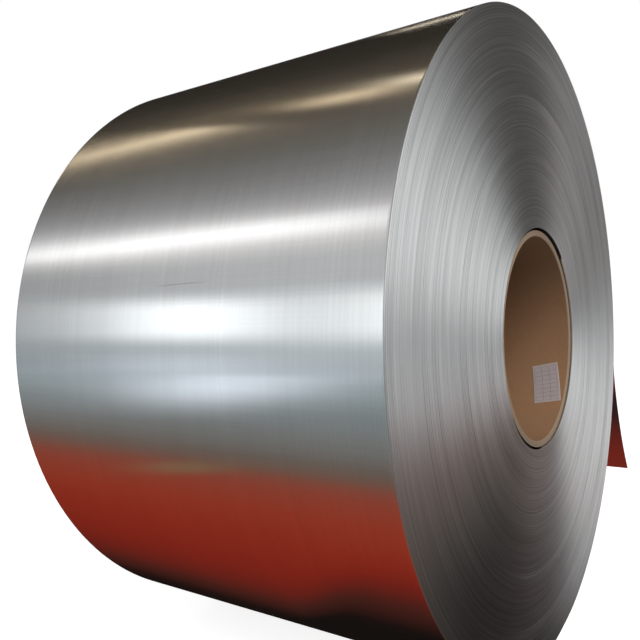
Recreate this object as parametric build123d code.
"""Coil of rolled aluminium strip, wound on a paper core and lying on its side.

One strip is wound lap on lap round the core.  Its outer end has come loose and hangs off the
coil as a tail, its inner end stops short of a full lap and leaves a crescent gap above the core,
the first laps have sagged off the core low on one side, and a printed label is stuck inside it.

Frame: origin at the middle of the core's bore, +X along the bore, +Z up.  Sizes in millimetres,
angles in degrees, measured in the YZ plane from +Y towards +Z.
"""
import os
from math import cos, radians, sin

from build123d import *

# Strip
STRIP_WIDTH = 1020.0
STRIP_THICKNESS = 1.5
COIL_OUTER_RADIUS = 787.5

# Ends of the coil: groups of laps that wandered sideways while the strip was wound
LAP_GROUPS = 12
GROUP_UNEVENNESS = 0.28
UNEVENNESS_WAVE = 1.7
SIDE_WANDER = 2.0
WANDER_WAVE = 1.9
WANDER_START = 0.5

# Core
CORE_BORE_RADIUS = 254.0
CORE_WALL = 15.0
CORE_RECESS = 3.0
CORE_EDGE_CHAMFER = 1.0
CORE_LOOSENESS = 2.5
CORE_SEAT_GAP = 0.3

# Crescent gap where the strip starts
INNER_END_ANGLE = 38.0
INNER_GAP_SPAN = 62.0
INNER_GAP_DEPTH = 8.0

# Lens-shaped gap low on the core, where the heavy coil has sagged away from it
SAG_GAP_ANGLE = 223.0
SAG_GAP_SPAN = 72.0
SAG_GAP_DEPTH = 9.0

# Outer ring of laps, half of it sunk into the wound body, and the loose end that leaves it
OUTER_LAPS = 4
TAIL_LEAVES_AT = -15.0
TAIL_BEND_RADIUS = 320.0
TAIL_BEND_ANGLE = 23.0
TAIL_CURL_RADIUS = 1000.0
TAIL_CURL_ANGLE = 21.0

# Label inside the core
LABEL_WIDTH = 72.0
LABEL_HEIGHT = 120.0
LABEL_THICKNESS = 0.2
LABEL_GLUE_GAP = 0.1
LABEL_FROM_END = 57.0
LABEL_ANGLE = -42.5
LABEL_TILT = 12.0

core_outer_radius = CORE_BORE_RADIUS + CORE_WALL
wound_bore_radius = core_outer_radius + CORE_LOOSENESS
outer_ring_bore_radius = COIL_OUTER_RADIUS - OUTER_LAPS * STRIP_THICKNESS
wound_body_radius = (COIL_OUTER_RADIUS + outer_ring_bore_radius) / 2
core_length = STRIP_WIDTH - 2 * CORE_RECESS
coil_axis_z = CORE_LOOSENESS - CORE_SEAT_GAP
radial = Plane.YZ


def on_circle(radius, angle, centre=(0.0, 0.0)):
    """The point at a radius and an angle about a centre, in the YZ plane."""
    return (centre[0] + radius * cos(radians(angle)), centre[1] + radius * sin(radians(angle)))


def group_edge(number):
    """Radius at which a group of laps starts; the groups are unevenly thick."""
    build = wound_body_radius - wound_bore_radius
    share = (number + GROUP_UNEVENNESS * sin(UNEVENNESS_WAVE * number)) / LAP_GROUPS
    if number in (0, LAP_GROUPS):
        share = number / LAP_GROUPS
    return wound_bore_radius + build * share


def group_shift(number):
    """How far along X a group of laps wandered; the strip's width stays the same."""
    return SIDE_WANDER * sin(WANDER_WAVE * number + WANDER_START)


def wound_body():
    """The wound laps as one turned solid, with the groups' shifts as steps on both ends."""
    half = STRIP_WIDTH / 2
    right_end = []
    left_end = []
    for number in range(LAP_GROUPS):
        inner, outer = group_edge(number), group_edge(number + 1)
        shift = group_shift(number)
        right_end += [(half + shift, inner), (half + shift, outer)]
        left_end += [(shift - half, inner), (shift - half, outer)]
    outline = Polyline(right_end + left_end[::-1], close=True)
    return revolve(Plane.XZ * make_face(outline), Axis.X)


def outer_lap():
    """The last lap.  Two half circles stand for the spiral, half a strip's thickness apart where
    they meet, so the tail comes off a small step."""
    step = STRIP_THICKNESS / 2
    start = on_circle(COIL_OUTER_RADIUS, TAIL_LEAVES_AT)
    top = on_circle(COIL_OUTER_RADIUS, TAIL_LEAVES_AT + 90)
    opposite = on_circle(COIL_OUTER_RADIUS, TAIL_LEAVES_AT + 180)
    lower_centre = on_circle(step / 2, TAIL_LEAVES_AT + 180)
    lower_radius = COIL_OUTER_RADIUS - step / 2
    bottom = on_circle(lower_radius, TAIL_LEAVES_AT + 270, lower_centre)
    end = on_circle(COIL_OUTER_RADIUS - step, TAIL_LEAVES_AT)
    outline = [
        ThreePointArc(start, top, opposite),
        ThreePointArc(opposite, bottom, end),
        Line(end, start),
    ]
    lap = make_face(outline) - Circle(outer_ring_bore_radius)
    return extrude(radial * lap, STRIP_WIDTH / 2, both=True)


def tail():
    """The loose end: the strip leaves the coil along its tangent, bends back and curls outwards."""
    faces = []
    bend_centre = on_circle(COIL_OUTER_RADIUS + TAIL_BEND_RADIUS, TAIL_LEAVES_AT)
    start = TAIL_LEAVES_AT + 180
    turn = start + TAIL_BEND_ANGLE
    curl_centre = on_circle(TAIL_BEND_RADIUS - TAIL_CURL_RADIUS, turn, bend_centre)
    stretches = [
        (bend_centre, TAIL_BEND_RADIUS, start, turn),
        (curl_centre, TAIL_CURL_RADIUS, turn, turn + TAIL_CURL_ANGLE),
    ]
    for centre, near, first, last in stretches:
        far = near + STRIP_THICKNESS
        middle = (first + last) / 2
        outline = [
            ThreePointArc(*(on_circle(near, a, centre) for a in (first, middle, last))),
            Line(on_circle(near, last, centre), on_circle(far, last, centre)),
            ThreePointArc(*(on_circle(far, a, centre) for a in (last, middle, first))),
            Line(on_circle(far, first, centre), on_circle(near, first, centre)),
        ]
        faces.append(make_face(outline))
    sheet = faces[0] + faces[1]
    return extrude(radial * sheet, STRIP_WIDTH / 2, both=True)


def inner_gap():
    """What is missing inside the first lap: a crescent that opens towards the strip's inner end."""
    tangent_at = INNER_END_ANGLE + INNER_GAP_SPAN
    offset = INNER_GAP_DEPTH / (1 - cos(radians(INNER_GAP_SPAN)))
    bulge = Pos(*on_circle(offset, tangent_at + 180)) * Circle(wound_bore_radius + offset)
    reach = 2 * wound_bore_radius
    sector = make_face(
        Polyline(
            (0, 0),
            on_circle(reach, INNER_END_ANGLE),
            on_circle(reach, INNER_END_ANGLE + INNER_GAP_SPAN / 2),
            on_circle(reach, tangent_at),
            close=True,
        )
    )
    crescent = (bulge & sector) - Circle(wound_bore_radius - STRIP_THICKNESS)
    return extrude(radial * crescent, STRIP_WIDTH, both=True)


def sag_gap():
    """The lens between the core and the first lap where the two have parted."""
    first = on_circle(wound_bore_radius, SAG_GAP_ANGLE - SAG_GAP_SPAN / 2)
    deepest = on_circle(wound_bore_radius + SAG_GAP_DEPTH, SAG_GAP_ANGLE)
    last = on_circle(wound_bore_radius, SAG_GAP_ANGLE + SAG_GAP_SPAN / 2)
    segment = make_face([ThreePointArc(first, deepest, last), Line(last, first)])
    lens = segment - Circle(wound_bore_radius - STRIP_THICKNESS)
    return extrude(radial * lens, STRIP_WIDTH, both=True)


def wound_strip():
    """The whole strip: laps, outer lap and tail, less the two gaps over the core."""
    strip = wound_body() + outer_lap() + tail() - inner_gap() - sag_gap()
    return Pos(0, 0, coil_axis_z) * strip


def paper_core():
    """The tube that the strip is wound on, a little shorter than the strip is wide."""
    section = Circle(core_outer_radius) - Circle(CORE_BORE_RADIUS)
    tube = extrude(radial * section, core_length / 2, both=True)
    rims = tube.edges().filter_by(GeomType.CIRCLE)
    return chamfer(rims, CORE_EDGE_CHAMFER)


def core_label():
    """A paper label glued to the inside of the core, bent to its curve and a little askew."""
    outer = CORE_BORE_RADIUS - LABEL_GLUE_GAP
    ring = Circle(outer) - Circle(outer - LABEL_THICKNESS)
    shell = extrude(radial * ring, core_length / 2, both=True)
    chord = 2 * outer * sin(LABEL_HEIGHT / 2 / outer)
    flat = Rectangle(LABEL_WIDTH, chord)
    outwards = Vector(0, cos(radians(LABEL_ANGLE)), sin(radians(LABEL_ANGLE)))
    middle = Vector(STRIP_WIDTH / 2 - LABEL_FROM_END, 0, 0) + outwards * (outer / 2)
    seat = Plane(origin=middle, x_dir=(1, 0, 0), z_dir=-outwards)
    stamp = extrude(seat * (Rot(0, 0, LABEL_TILT) * flat), -outer)
    return shell & stamp


def main():
    os.makedirs("parts", exist_ok=True)
    nodes = {
        "wound_strip": wound_strip(),
        "paper_core": paper_core(),
        "core_label": core_label(),
    }
    for name, shape in nodes.items():
        export_step(shape, f"parts/{name}.step")
        box = shape.bounding_box()
        print(name, len(shape.solids()), "solid,", round(shape.volume), "mm3,", box.min, box.max)


main()
